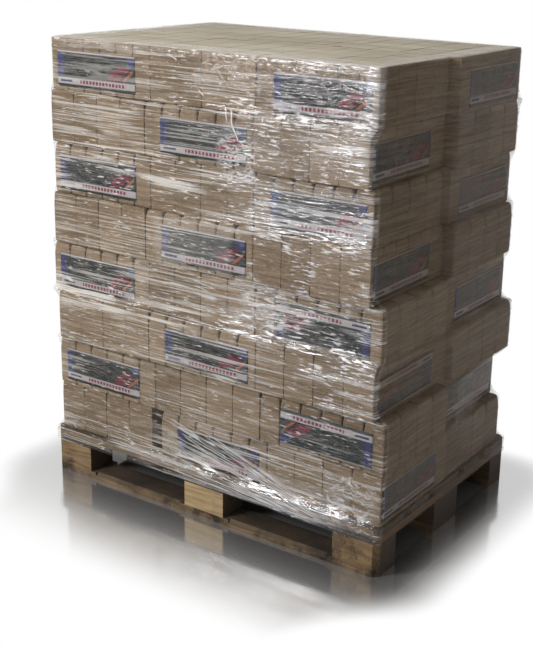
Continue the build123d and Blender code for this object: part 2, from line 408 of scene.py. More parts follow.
def packs_of(layer):
    """A layer's twelve packs: middle (x, y), length and width, and whether turned."""
    middles, sizes, turned = [], [], []
    for row, column, left, right, depth, along in blocks_of(layer):
        face, inward = (front_face[layer], 1) if row == 0 else (back_face[layer], -1)
        width = (depth - pack_gap) / 2 if along else (right - left - pack_gap) / 2
        for second in (0, 1):
            if along:
                deep = width / 2 + second * (width + pack_gap)
                middles.append(((left + right) / 2, face + inward * deep))
                sizes.append((right - left, width))
            else:
                across = right - width / 2 if second else left + width / 2
                middles.append((across, face + inward * depth / 2))
                sizes.append((depth, width))
            turned.append(not along)
    return np.array(middles), np.array(sizes), np.array(turned)


def briquette_shell(length, depth, height, groove, top):
    """Points and faces of one brick. Its outline is a rectangle whose corners are arcs of
    three points. Groove is the corner radius, which grows towards the bottom and the top,
    where the outline also draws in; (height, corner radius, draw-in) rows say how."""
    top_radius, top_draw_in, head = top
    rows = np.array(
        [
            (0.0, groove + 0.003, 0.0026),
            (0.0035, groove + 0.001, 0.0003),
            (0.018, groove, 0.0),
            (height - head, groove, 0.0),
            (height - 0.4 * head, 0.6 * groove + 0.4 * top_radius, top_draw_in / 5),
            (height - 0.0045, 0.3 * groove + 0.7 * top_radius, top_draw_in / 2),
            (height, top_radius, top_draw_in),
        ]
    )
    arc = np.radians(np.array([0, 45, 90]))
    turn = (np.arange(4)[:, None] * np.pi / 2 + arc).ravel()
    corner = np.repeat(np.array([(1, 1), (-1, 1), (-1, -1), (1, -1)]), 3, axis=0)
    level, radius, draw_in = (column[:, None] for column in rows.T)
    x = corner[:, 0] * (length / 2 - draw_in - radius) + radius * np.cos(turn)
    y = corner[:, 1] * (depth / 2 - draw_in - radius) + radius * np.sin(turn)
    z = level + 0 * x
    points = np.stack([x, y, z], -1).reshape(-1, 3)
    around, up = 12, len(rows)
    one = np.arange(around)
    base = (np.arange(up - 1)[:, None] * around + one).ravel()
    beside = (np.arange(up - 1)[:, None] * around + (one + 1) % around).ravel()
    sides = np.stack([base, beside, beside + around, base + around], 1)
    return points, sides, one[::-1], one + around * (up - 1)


# Free width between bricks, then how far one may be shifted, turned (radians) and sunk
brick_play, brick_shift, brick_lean, brick_sink = 0.0003, 0.0002, 0.002, 0.0006
pack_tone_reach, brick_tone_reach = 0.3, 0.14


def build_pack_layer(layer, draw):
    """All bricks of a layer: the shell drawn out to its pack's share and copied to every
    place, each copy turned by a hair, shifted within its gap and sunk by half a millimetre."""
    open_head, closed_head = (0.0125, 0.0062, 0.042), (0.005, 0.0020, 0.012)
    if layer == layer_count - 1:
        open_head, closed_head = (0.0030, 0.0006, 0.012), (0.0030, 0.0006, 0.012)
    brick = np.array([pack_length / 6, (pair_width - pack_gap) / 4])
    shells = [
        briquette_shell(*(brick - brick_play), layer_height, groove, head)
        for groove, head in ((0.0046, open_head), (0.0009, closed_head))
    ]
    points, sides, under, over = shells[0]
    middles, sizes, turned = packs_of(layer)
    form = np.where(turned[:, None, None], shells[1][0], points)[:, None]
    share = sizes / (6, 2)
    number = np.stack(np.meshgrid(np.arange(6), np.arange(2), indexing="ij"), -1).reshape(-1, 2)
    spots = (number - (2.5, 0.5)) * share[:, None]
    spots = spots + draw.uniform(-brick_shift, brick_shift, spots.shape)
    lean = draw.uniform(-brick_lean, brick_lean, (len(middles), 12, 1))
    # A loosely laid brick is let out by half its play, on the flats between its corners
    grow = (share - brick)[:, None, None] * 0.4 * np.sign(points[:, :2])
    x = form[..., 0] + grow[..., 0] - form[..., 1] * lean + spots[..., :1]
    y = form[..., 1] + grow[..., 1] + form[..., 0] * lean + spots[..., 1:]
    sink = draw.uniform(0.0, brick_sink, (len(middles), 12, 1))
    z = points[:, 2] * (1 - sink / layer_height) + np.zeros_like(x)
    spin = turned[:, None, None]
    placed = np.stack(
        [
            np.where(spin, -y, x) + middles[:, 0, None, None],
            np.where(spin, x, y) + middles[:, 1, None, None],
            z + deck_top + layer * layer_height,
        ],
        -1,
    ).reshape(-1, 3)
    starts = np.arange(len(middles) * 12) * len(points)
    faces = (sides[None] + starts[:, None, None]).reshape(-1, 4).tolist()
    faces += (under + starts[:, None]).tolist() + (over + starts[:, None]).tolist()
    mesh = bpy.data.meshes.new(f"briquettes_layer_{layer + 1}")
    mesh.from_pydata(placed.tolist(), [], faces)
    tone = 0.5 + draw.uniform(-pack_tone_reach, pack_tone_reach, (len(middles), 1))
    own_tone = draw.uniform(-brick_tone_reach, brick_tone_reach, (len(middles), 12))
    tone = np.clip(tone + own_tone, 0, 1)
    held = mesh.attributes.new("tone", "FLOAT", "POINT")
    held.data.foreach_set("value", np.repeat(tone.ravel(), len(points)).astype(np.float32))
    mesh.update()
    return bpy.data.objects.new(mesh.name, mesh)


def pressed_chips_group():
    """Chips are Voronoi cells of 4 mm drawn flat by the press; each takes its own value. Dark
    bark specks are rarer cells, and press lines a fine noise across the brick's height."""
    tree, given, result = effect_group(
        "pressed chips",
        {"Vector": "vector"},
        {"Chips": "value", "Bark": "value", "Press": "value", "Height": "value"},
    )
    vector = given.outputs["Vector"]
    cells = cells_of(vector, (190, 190, 320))
    chip = add_node(tree, "ShaderNodeSeparateColor", {0: cells["Color"]}).outputs[0]
    specks = cloud(vector, (210, 210, 260), 2, place=(3, 1, 4))
    lines = cloud(vector, (14, 14, 330), 3)
    press = cloud(vector, (7, 7, 150), 2, place=(5, 2, 1))
    height = times_plus(press, 1.4, times_plus(cells["Distance"], -0.5, lines))
    feed(result, Chips=chip, Press=press, Bark=ramp(specks, 0.66, 0.74), Height=height)
    return tree


pressed_chips = pressed_chips_group()


def briquette_material():
    """Tan pressed wood: light and dark chips about the brick's own tone, bark specks, and a
    slow drift of colour over the stack."""
    made, tree, shader, place = new_material("pressed wood", Specular_IOR_Level=0.1)
    chips = use_group(pressed_chips, Vector=place)
    own = add_node(tree, "ShaderNodeAttribute", attribute_name="tone").outputs["Fac"]
    drift = cloud(place, 5, 3)
    tone = times_plus(own, 0.6, times(drift, 0.5))
    tone = times_plus(chips["Chips"], 0.3, tone)
    tone = times_plus(chips["Press"], 1.5, tone)
    tone = ramp(calc("SUBTRACT", tone, 0.75), 0.25, 1.1)
    colour = blend_colour(tone, (0.160, 0.113, 0.072, 1), (0.310, 0.232, 0.157, 1))
    colour = blend_colour(times(chips["Bark"], 0.7), colour, (0.09, 0.057, 0.035, 1))
    # Pale dust lies on the top of the stack
    facing = add_node(tree, "ShaderNodeNewGeometry").outputs["Normal"]
    dust_and_shade = times(ramp(axes(facing)[2], 0.5, 0.95), ramp(axes(place)[2], 1.36, 1.37))
    dusty_and_shaded = ramp(cloud(place, (2, 9, 1), 4), 0.3, 0.7)
    pale = blend_colour(dusty_and_shaded, (0.42, 0.37, 0.285, 1), (0.56, 0.51, 0.41, 1))
    colour = blend_colour(times(dust_and_shade, 0.9), colour, pale)
    feed(shader, Base_Color=colour, Roughness=times_plus(chips["Chips"], 0.2, 0.6))
    feed(shader, Normal=bumped(chips["Height"], 0.0008))
    return made


pressed_wood = briquette_material()
for layer in range(layer_count):
    bricks = build_pack_layer(layer, np.random.default_rng(40 + layer))
    bricks.data.materials.append(pressed_wood)
    bpy.context.collection.objects.link(bricks)
    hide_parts(f"pack_layer_{layer + 1}")
    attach(bricks, "root")

# Labels
# A printed paper slip lies on the long side of each pack that looks outwards. It bridges the
# notches between the bricks, dips into them a little and is creased by the wrapping.
label_length, label_height, label_rise = 0.300, 0.104, 0.014
label_stand_off, label_slack, label_wave = 0.0004, 0.0006, 0.00012
label_dip, label_dip_reach = 0.0011, 0.0055
label_shift_front = (-0.015, 0.020, 0.018)
label_shift_end = (-0.032, 0.018)
label_shift_hidden = 0.018


def label_places():
    """Every label as (side, layer, column or row, middle along the side, face)."""
    found = []
    for layer in range(layer_count):
        for row, column, left, right, depth, along in blocks_of(layer):
            middle = (left + right) / 2
            deep = depth / 2 * (1 if row == 0 else -1)
            face = front_face[layer] if row == 0 else back_face[layer]
            if along:
                shift = label_shift_front[column] if row == 0 else -label_shift_hidden
                found.append((("front", "back")[row], layer, column, middle + shift, face))
            elif column == 0:
                found.append(("left", layer, row, face + deep - label_shift_hidden, left))
            elif column == 2:
                found.append(("right", layer, row, face + deep + label_shift_end[row], right))
    return found


# Some packs were stacked head down, so their labels read upside down.
head_down = {("front", 3, 2), ("front", 1, 2), ("right", 2, 0), ("back", 4, 0), ("left", 5, 1)}


def label_surface(side, layer, spot, middle, face, draw):
    """Grid over length and height. It stands off the pack by a constant, less a dip at each
    brick seam (a bell of the distance to it), plus a few low waves across the slip."""
    a, b = np.meshgrid(np.linspace(0, 1, 41), np.linspace(0, 1, 9))
    along = (a - 0.5) * label_length
    shift = {"front": label_shift_front, "right": label_shift_end}.get(side)
    shift = shift[spot] if shift else -label_shift_hidden
    seam = (along + shift + pack_length / 2) / (pack_length / 6)
    nearness = np.abs(seam - np.round(seam)) * pack_length / 6
    dip = label_dip * np.exp(-((nearness / label_dip_reach) ** 2))
    wave = np.zeros_like(a)
    for _ in range(5):
        turns_a, turns_b, start = draw.uniform(1, 5), draw.uniform(0.5, 3), draw.uniform(0, 6.3)
        wave += label_wave * np.sin(6.283 * (turns_a * a + turns_b * b) + start)
    out = label_stand_off + label_slack - dip + wave
    up = deck_top + layer * layer_height + label_rise + b * label_height
    way = -1 if side in ("front", "left") else 1
    if side in ("front", "back"):
        points = np.stack([middle - way * along, face + way * out, up], -1)
    else:
        points = np.stack([face + way * out, middle + way * along, up], -1)
    uv = np.stack([a, b], -1)
    if (side, layer, spot) in head_down:
        uv = 1 - uv
    return points, uv


def grid_faces(rows, columns, first=0):
    """Quads between neighbours of a grid stored row by row, facing outwards for a grid that
    runs to the right and up."""
    one = np.arange(rows - 1)[:, None] * columns + np.arange(columns - 1) + first
    return np.stack([one, one + 1, one + columns + 1, one + columns], -1).reshape(-1, 4)


def mesh_from_grids(name, grids, uvs, layer_name):
    """One mesh of several grids of points (rows, columns, 3) with a UV for each point."""
    faces, first = [], 0
    for grid in grids:
        faces.append(grid_faces(*grid.shape[:2], first))
        first += grid.shape[0] * grid.shape[1]
    faces = np.concatenate(faces)
    points = np.concatenate([grid.reshape(-1, 3) for grid in grids])
    flat_uv = np.concatenate([uv.reshape(-1, 2) for uv in uvs])
    mesh = bpy.data.meshes.new(name)
    mesh.vertices.add(len(points))
    mesh.vertices.foreach_set("co", points.ravel())
    mesh.loops.add(faces.size)
    mesh.loops.foreach_set("vertex_index", faces.ravel().astype(np.int32))
    mesh.polygons.add(len(faces))
    mesh.polygons.foreach_set("loop_start", np.arange(len(faces), dtype=np.int32) * 4)
    mesh.update(calc_edges=True)
    held = mesh.uv_layers.new(name=layer_name)
    held.data.foreach_set("uv", flat_uv[faces.ravel()].ravel())
    mesh.shade_smooth()
    mesh.validate()
    return mesh


def panel(across, up, left, right, low, high, ease=0.006):
    """1 inside a rectangle of the label, 0 outside it."""
    return product(
        ramp(across, left - ease, left + ease),
        ramp(across, right + ease, right - ease),
        ramp(up, low - 2 * ease, low + 2 * ease),
        ramp(up, high + 2 * ease, high - 2 * ease),
    )


def label_material(name, dull):
    """Flat inks on paper: a slate field with log ends in rings, a pale rule with red ticks below
    the middle, three indigo blocks and two wedges. Dull is how far the inks are taken towards
    brown: by dust and scuffs, and on the labels of the unlit right end also as painted shade."""
    made, tree, shader, place = new_material(name, Specular_IOR_Level=0.15)
    uv = add_node(tree, "ShaderNodeUVMap", uv_map="label").outputs[0]
    across, up, _ = axes(uv)
    label_shape = 2.88
    paper, slate = (0.42, 0.39, 0.39, 1), (0.040, 0.046, 0.048, 1)
    indigo, red, orange = (0.038, 0.044, 0.12, 1), (0.21, 0.035, 0.055, 1), (0.30, 0.09, 0.05, 1)
    worn = cloud(uv, (9, 4, 1), 4)
    field = blend_colour(ramp(worn, 0.35, 0.7), slate, (0.070, 0.078, 0.074, 1))
    # Log ends: rings about four centres
    log_ends = (0.30, 0.70, 0.20), (0.42, 0.52, 0.17), (0.55, 0.74, 0.19), (0.68, 0.56, 0.16)
    for x, y, size in log_ends:
        off_x = times(calc("SUBTRACT", across, x), label_shape)
        away = distance(off_x, calc("SUBTRACT", up, y))
        rings = times_plus(calc("SINE", times(away, 130.0)), 0.4, 0.5)
        wood = blend_colour(rings, (0.055, 0.053, 0.05, 1), (0.11, 0.105, 0.095, 1))
        field = blend_colour(ramp(away, size + 0.015, size - 0.015), field, wood)
    bark = cloud(uv, (9, 22, 1), 4, 0.7, place=(2, 5, 0))
    field = blend_colour(ramp(bark, 0.46, 0.56), field, (0.010, 0.012, 0.013, 1))
    # Slanting wedges in red and orange, the red one broken up by the bark
    slope = times_plus(across, -2.4, up)
    wedge = product(ramp(slope, -1.62, -1.60), ramp(slope, -1.18, -1.20), ramp(bark, 0.62, 0.42))
    field = blend_colour(times(wedge, panel(across, up, 0.66, 0.93, 0.30, 0.70)), field, red)
    lick = times(ramp(slope, -1.80, -1.78), ramp(slope, -1.68, -1.70))
    field = blend_colour(times(lick, panel(across, up, 0.70, 0.97, 0.30, 0.70)), field, orange)
    field = blend_colour(panel(across, up, 0.0, 1.0, 0.08, 0.26), field, paper)
    ticks = ramp(times_plus(worn, 0.8, calc("SINE", times(across, 150.0))), -0.4, 0.2)
    ticks = times(ticks, panel(across, up, 0.30, 0.88, 0.125, 0.22))
    field = blend_colour(ticks, field, red)
    for left, right, low, high, ink in (
        (0.04, 0.19, 0.14, 0.20, indigo),
        (0.90, 1.0, 0.72, 1.0, indigo),
        (0.0, 0.085, 0.26, 1.0, indigo),
        (0.0, 1.0, 0.955, 1.0, paper),
    ):
        field = blend_colour(panel(across, up, left, right, low, high), field, ink)
    # Scuffs brown the inks; the larger dull of the right end's labels is painted shade
    scuffed_and_shaded = times_plus(ramp(worn, 0.3, 0.7), 0.4 * dull, 0.8 * dull)
    field = blend_colour(scuffed_and_shaded, field, (0.095, 0.078, 0.062, 1))
    feed(shader, Base_Color=field, Roughness=times_plus(worn, 0.3, 0.3))
    feed(shader, Normal=bumped(cloud(place, (30, 30, 70), 4), 0.001))
    return made


label_print = label_material("printed label", 0.06)
# The labels on the unlit right end get a duller, browner print: painted shade
shaded_end_label_print = label_material("shaded end printed label", 0.22)
label_side_grids = {"front": [], "back": [], "left": [], "right": []}
for number, (side, layer, spot, middle, face) in enumerate(label_places()):
    label_side_grids[side].append(
        label_surface(side, layer, spot, middle, face, np.random.default_rng(200 + number))
    )
for side, made in label_side_grids.items():
    slips_mesh = mesh_from_grids(
        f"label_slips_{side}", [points for points, _ in made], [uv for _, uv in made], "label"
    )
    slips = bpy.data.objects.new(slips_mesh.name, slips_mesh)
    slips_mesh.materials.append(shaded_end_label_print if side == "right" else label_print)
    bpy.context.collection.objects.link(slips)
    paper_wall = slips.modifiers.new("paper thickness", "SOLIDIFY")
    paper_wall.thickness = 0.0003
    paper_wall.offset = -1
    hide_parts(f"labels_{side}")
    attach(slips, "root")

# Stretch film
# Clear film wound round the stack in three passes that lap over each other. It is drawn tight
# across each layer's faces, bridges the steps between layers, folds in over the top edge and
# comes down round the deck's rim, with wrinkles that run round the load.
film_off = 0.0022
film_radius = 0.012
film_top_radius = 0.009
film_top = deck_top + layer_count * layer_height + 0.0012
deck_reach = (0.400, 0.400, 0.600, 0.600, 0.600, 0.600)


def layer_reaches():
    """How far the film's front, back, left (front and back row) and right (front and back
    row) lie from the origin, for the deck and then each layer, bottom first."""
    packs = np.stack(
        [-front_face, back_face, -row_left[0], -row_left[1], row_right[0], row_right[1]]
    )
    deck = np.array(deck_reach)[:, None]
    return np.concatenate([deck, packs], axis=1) + film_off


reaches = layer_reaches()


def reach_at(height, bridge):
    """The six reaches at given heights. A reach is its own layer's, plus what a neighbour
    stands out further times (1 - distance to that neighbour / bridge) squared."""
    level = np.clip(np.floor((height - deck_top) / layer_height), -1, layer_count - 1)
    level = level.astype(int) + 1
    own = reaches[:, level]
    above = reaches[:, np.minimum(level + 1, layer_count)]
    below = reaches[:, np.maximum(level - 1, 0)]
    base = deck_top + (level - 1) * layer_height
    to_above = np.clip(1 - (base + layer_height - height) / bridge, 0, 1) ** 2
    to_below = np.clip(1 - (height - base) / bridge, 0, 1) ** 2
    to_below = np.where(level == 0, 0, to_below)
    out = own + np.maximum(above - own, 0) * to_above
    return np.maximum(out, own + np.maximum(below - own, 0) * to_below)


def film_skin(side, share, climb, bridge):
    """Point and outward direction on the film. side is 0 front, 1 right, 2 back, 3 left;
    share runs 0 to 1 along it to the right as seen from outside; climb is the height, and
    past the top edge the way goes round a small arc and in over the top."""
    over = climb - (film_top - film_top_radius)
    bend = np.clip(over / film_top_radius, 0, np.pi / 2)
    inward = film_top_radius * (1 - np.cos(bend)) + np.maximum(
        over - film_top_radius * np.pi / 2, 0
    )
    height = np.where(over > 0, film_top - film_top_radius * (1 - np.sin(bend)), climb)
    front, back, left_f, left_b, right_f, right_b = reach_at(height, bridge) - inward
    turning = np.pi * film_radius / 4
    start = np.choose(side, [-left_f, -front, right_b, back])
    stop = np.choose(side, [right_f, back, -left_b, -front])
    heading = np.choose(side, [1, 1, -1, -1])
    span = np.abs(stop - start)
    run = share * (span - 2 * film_radius + 2 * turning) - turning
    past = run - (span - 2 * film_radius)
    angle = np.where(run < 0, -run, np.maximum(past, 0)) / film_radius
    ahead = np.where(
        run < 0,
        film_radius * (1 - np.sin(angle)),
        np.where(past > 0, span - film_radius * (1 - np.sin(angle)), film_radius + run),
    )
    drawn_in = film_radius * (1 - np.cos(angle))
    along = start + heading * ahead
    knee = 0.03
    from_front = np.clip((along + front) / (front - knee), 0, 1)
    from_back = np.clip((back - along) / (back - knee), 0, 1)

    def end_reach(of_front, of_back):
        """An end slants from the row that reaches less to the one that reaches further."""
        return np.where(
            of_back > of_front,
            of_front + (of_back - of_front) * from_front,
            of_back + (of_front - of_back) * from_back,
        )

    right, left = end_reach(right_f, right_b), end_reach(left_f, left_b)
    x = np.choose(side, [along, right - drawn_in, along, -left + drawn_in])
    y = np.choose(side, [-front + drawn_in, along, back - drawn_in, along])
    lean = np.where(run < 0, -1, 1) * np.sin(angle)
    out_x = np.choose(side, [lean, np.cos(angle), -lean, -np.cos(angle)])
    out_y = np.choose(side, [-np.cos(angle), lean, np.cos(angle), -lean])
    flat = np.cos(bend)
    normal = np.stack([out_x * flat, out_y * flat, np.sin(bend) + 0 * out_x], -1)
    return np.stack([x, y, height + 0 * x], -1), normal


# Where the wrapping has left the film gathered, with deeper wrinkles and more of the painted
# highlight along them: (side, low share, high share, low height, high height, strength). Sides
# count from the front round to the right.
gathers = (
    (0, 0.66, 1.00, 1.205, 1.250, 1.0),
    (0, 0.72, 1.00, 1.250, 1.376, 0.42),
    (0, 0.47, 0.66, 1.270, 1.376, 0.3),
    (0, 0.60, 1.00, 1.080, 1.215, 0.42),
    (0, 0.90, 1.00, 1.070, 1.370, 0.6),
    (0, 0.53, 0.66, 1.010, 1.170, 0.5),
    (0, 0.66, 1.00, 0.925, 1.075, 0.48),
    (0, 0.68, 1.00, 0.880, 0.930, 0.8),
    (0, 0.80, 1.00, 0.770, 0.880, 0.45),
    (0, 0.62, 1.00, 0.745, 0.775, 0.6),
    (0, 0.62, 0.74, 0.620, 0.760, 0.75),
    (0, 0.74, 1.00, 0.610, 0.760, 0.45),
    (0, 0.88, 1.00, 0.585, 0.620, 1.0),
    (0, 0.83, 0.94, 0.535, 0.575, 0.85),
    (0, 0.83, 0.94, 0.445, 0.480, 0.85),
    (0, 0.00, 0.30, 0.455, 0.480, 0.45),
    (0, 0.00, 0.30, 0.600, 0.760, 0.25),
    (0, 0.66, 0.80, 0.350, 0.430, 0.45),
    (0, 0.30, 0.62, 0.460, 0.620, 0.2),
    (0, 0.60, 0.98, 0.110, 0.230, 0.35),
    (0, 0.00, 1.00, 0.095, 0.150, 0.12),
    (0, 0.00, 1.00, 1.352, 1.400, 0.45),
    (1, 0.00, 1.00, 1.090, 1.376, 0.35),
    (1, 0.00, 1.00, 0.095, 0.150, 0.35),
    (2, 0.10, 0.90, 0.095, 0.150, 0.4),
    (3, 0.10, 0.90, 0.095, 0.150, 0.4),
    (2, 0.05, 0.45, 0.90, 1.250, 0.4),
    (2, 0.55, 0.95, 0.35, 0.75, 0.4),
    (3, 0.10, 0.60, 0.70, 1.050, 0.35),
)

share_margin, share_ease, climb_margin, climb_ease = 0.02, 0.05, 0.006, 0.014


def gathered(side, share, climb):
    """How gathered the film is, 0 to 1: the largest of the patches' strengths, each eased
    off outside its edges."""
    sway = 0.022 * np.sin(61 * climb + 3 * side) + 0.016 * np.sin(23 * climb + 9 * share)
    rise = 0.008 * np.sin(19 * share + 7 * side) + 0.006 * np.sin(47 * share + 31 * climb)
    found = np.choose(side, [0.22, 0.0, 0.22, 0.22]) + 0.0 * share
    for where, left, right, low, high, strength in gathers:
        across, up = share + sway, climb + rise
        beside = np.maximum(left + share_margin - across, across - right - share_margin)
        above = np.maximum(low + climb_margin - up, up - high + climb_margin)
        beside, above = np.maximum(beside, 0) / share_ease, np.maximum(above, 0) / climb_ease
        patch = strength * np.exp(-(beside**2) - above**2)
        found = np.where(side == where, np.maximum(found, patch), found)
    patchy = 0.5 + 0.5 * np.sin(31 * share + 5 * np.sin(40 * climb)) * np.sin(83 * climb)
    return found * (0.72 + 0.28 * patchy)


def ridges(around, climb, draw, count, tight, long_wave):
    """Sum of waves that run round the load: each is a sine of height times up to tight
    turns a metre, and of the way round times up to long_wave turns, with its own start."""
    total = np.zeros_like(around)
    for _ in range(count):
        up_turns = draw.uniform(0.45, 1.0) * tight
        round_turns = draw.uniform(-1, 1) * long_wave
        start = draw.uniform(0, 2 * np.pi)
        wave = np.sin(2 * np.pi * (up_turns * climb + round_turns * around) + start)
        total += (1 - np.abs(wave)) ** 2 - 0.3
    return total / np.sqrt(count)


side_shares = []
for columns in (112, 76, 112, 76):
    corner_part = 0.0065 if columns > 100 else 0.0095
    bend_in = np.linspace(0, corner_part, 4)[:-1]
    middle_part = np.linspace(corner_part, 1 - corner_part, columns - 6)
    side_shares.append(np.concatenate([bend_in, middle_part, 1 - bend_in[::-1]]))
side_lengths = (1.16, 0.78, 1.16, 0.78)
# How far the film bridges a step, the height of fine and slow wrinkles where it is taut, what
# gathering adds, how deep one may go, and the share of the way round over which they fade
film_bridge, fine_wrinkle, slow_wrinkle, gather_wrinkle = 0.034, 0.0002, 0.0004, 0.0008
deepest_wrinkle, seam_share = -0.0008, 0.01


def film_pass(name, low, high, low_tilt, high_tilt, rows, lift, seed):
    """One pass of film. Low and high edges are heights with a slope and slow waves along the
    way round; the surface is the film skin plus lift and wrinkles along its outward side."""
    draw = np.random.default_rng(seed)
    side = np.concatenate([np.full(len(s) - 1, i) for i, s in enumerate(side_shares)])
    share = np.concatenate([s[:-1] for s in side_shares])
    around = np.concatenate(
        [
            s[:-1] * length + sum(side_lengths[:i])
            for i, (s, length) in enumerate(zip(side_shares, side_lengths))
        ]
    )
    whole = sum(side_lengths)
    lap = around / whole
    wave = 0.5 * np.sin(2 * np.pi * (lap + 0.2)) + 0.2 * np.sin(6 * np.pi * lap + seed)
    edge_low = low + low_tilt * wave
    edge_high = high + high_tilt * wave
    step = np.linspace(0, 1, rows)[:, None]
    climb = edge_low + (edge_high - edge_low) * step
    side = np.broadcast_to(side, climb.shape)
    share = np.broadcast_to(share, climb.shape)
    around = np.broadcast_to(around, climb.shape)
    sway = np.sin(9 * around + 3 * climb) * np.sin(23 * around + seed)
    bridge = film_bridge * (1 + 0.5 * sway)
    points, normal = film_skin(side, share, climb, bridge)
    gather = gathered(side, share, climb)
    fine = ridges(around, climb, draw, 9, 75, 1.6)
    slow = ridges(around, climb, draw, 5, 14, 2.2)
    wrinkle = (fine_wrinkle + gather_wrinkle * gather) * fine
    wrinkle = wrinkle + (slow_wrinkle + gather_wrinkle * gather) * slow
    seam_fade = np.minimum(1, np.minimum(lap, 1 - lap) / seam_share)
    wrinkle = np.maximum(wrinkle * seam_fade, deepest_wrinkle)
    points = points + normal * (lift + wrinkle)[..., None]
    points = np.concatenate([points, points[:, :1]], axis=1)
    uv = np.stack([around, climb + 0 * around], -1)
    uv = np.concatenate([uv, uv[:, :1] + [whole, 0]], axis=1)
    gather = np.concatenate([gather, gather[:, :1]], axis=1)
    mesh = mesh_from_grids(name, [points], [uv], "wrap")
    held = mesh.attributes.new("gather", "FLOAT", "POINT")
    held.data.foreach_set("value", gather.ravel().astype(np.float32))
    return bpy.data.objects.new(name, mesh)


def crest_of(noise, low, high):
    """1 where a noise crosses its middle, 0 away from it: 1 - |2n - 1| between two marks."""
    bent = calc("ABSOLUTE", times_plus(noise, 2.0, -1.0))
    return ramp(calc("SUBTRACT", 1.0, bent), low, high)


def flat_cloud(vector, scale, detail, place=(0, 0, 0), roughness=0.5):
    """Value of a fractal noise in the first two coordinates alone."""
    return cloud(vector, scale, detail, roughness, place, "2D")


def wrap_streaks_group():
    """Lines are the crests of noises drawn out round the load, in four families that differ in
    slope and spacing. Each is broken into dashes by a noise as fine as itself, and comes and goes
    with a slow noise. Crumple is where a finer noise stands highest. The film takes its lines and
    crumples in pale colour, in part as painted highlights of the wrinkles."""
    tree, given, result = effect_group(
        "wrap streaks",
        {"Vector": "vector", "Gather": "value"},
        {"Lines": "value", "Crumple": "value", "Height": "value", "Hue": "value"},
    )
    vector, gather = given.outputs["Vector"], given.outputs["Gather"]
    lap, climb, _ = axes(vector)
    sway = flat_cloud(vector, (1.6, 5, 1), 2)
    zone = times_plus(gather, 0.12, flat_cloud(vector, (2.6, 9, 1), 3, (1, 6, 0)))
    lines, bumps = [], 0.0
    # Slope, bend, line scale, dash scale, weight, how rare, how thin
    families = (
        (0.0, 0.004, (0.45, 68, 1), (3.0, 60, 1), 0.58, 0.49, 0.86),
        (0.012, 0.006, (0.6, 96, 1), (4, 80, 1), 0.44, 0.48, 0.84),
        (-0.010, 0.015, (1.4, 60, 1), (5, 60, 1), 0.66, 0.62, 0.90),
        (0.03, 0.030, (3.4, 44, 1), (9, 44, 1), 0.66, 0.67, 0.92),
    )
    for slope, bend, scale, dash_scale, weight, rare, thin in families:
        laid = paired(lap, times_plus(sway, bend, times_plus(lap, slope, climb)))
        noise = flat_cloud(laid, scale, 1)
        dash = times_plus(gather, 0.08, flat_cloud(laid, dash_scale, 1, (3, 1, 0)))
        here = ramp(zone, rare - 0.08, rare + 0.08)
        lines.append(product(crest_of(noise, thin, 0.97), weight, ramp(dash, 0.46, 0.58), here))
        # Only the broad families stand out from the film
        bumps = calc("ADD", bumps, noise) if rare > 0.6 else bumps
    # Where it is gathered the film breaks up into facets a few millimetres high
    drift = flat_cloud(vector, (9, 22, 1), 2, (2, 2, 0))
    laid = paired(lap, times_plus(sway, 0.02, climb))
    facets = flat_cloud(laid, (24, 165, 1), 2, roughness=0.6)
    sharp = times_plus(drift, 0.30, times_plus(gather, 0.22, facets))
    height = times_plus(facets, 1.2, times(bumps, 0.6))
    height = times(height, times_plus(gather, 0.8, 0.35))
    feed(result, Lines=largest(*lines), Crumple=ramp(sharp, 0.82, 0.96), Height=height)
    feed(result, Hue=flat_cloud(vector, (34, 90, 1), 2, (7, 8, 0)))
    return tree


# Marks seen on the real wrap, in metres round the load from the front left corner and up: single
# creases as (from, to, half width, strength), and patches as (left, right, low, high, strength)
# where the film is crumpled, milky, or taut and clear. Creases, crumples and milky patches are
# drawn in pale film colour, in part as painted highlights of folds and edges.
creases = (
    ((0.687, 1.236), (0.735, 1.140), 0.0022, 0.95),
    ((0.669, 1.235), (0.690, 1.195), 0.0022, 0.80),
    ((0.682, 1.254), (0.735, 1.246), 0.0024, 0.90),
    ((0.574, 1.272), (0.592, 1.256), 0.0022, 0.85),
    ((0.463, 1.359), (0.497, 1.345), 0.0024, 0.80),
    ((0.632, 1.340), (0.664, 1.304), 0.0017, 0.60),
    ((0.734, 1.328), (0.748, 1.312), 0.0022, 0.70),
    ((1.250, 1.110), (1.500, 1.362), 0.0160, 0.075),
    ((1.170, 0.955), (1.430, 1.135), 0.0130, 0.065),
)
crumpled = (
    (0.560, 0.760, 1.285, 1.388, 0.34),
    (0.660, 0.790, 1.040, 1.160, 0.50),
    (0.980, 1.140, 0.130, 0.265, 0.60),
    (0.770, 1.130, 1.280, 1.372, 0.26),
    (0.690, 0.860, 0.640, 0.760, 0.45),
)
milky = (
    (0.750, 1.165, 1.085, 1.232, 0.07),
    (0.700, 1.150, 0.930, 1.070, 0.02),
    (1.120, 1.172, 1.245, 1.385, 0.20),
    (0.760, 1.060, 0.112, 0.205, 0.12),
    (0.000, 3.880, 1.366, 1.388, 0.12),
    (0.000, 1.160, 0.095, 0.140, 0.03),
    (1.185, 1.920, 1.090, 1.385, 0.05),
    (0.410, 0.700, 0.775, 0.900, 0.10),
)
taut = (
    (0.020, 0.340, 1.235, 1.366, 0.50),
    (0.790, 1.130, 1.235, 1.360, 0.40),
    (0.790, 1.130, 0.930, 1.060, 0.35),
    (0.410, 0.700, 1.085, 1.215, 0.30),
)
fan_point, fan_reach = (1.085, 0.098), (0.08, 0.80)


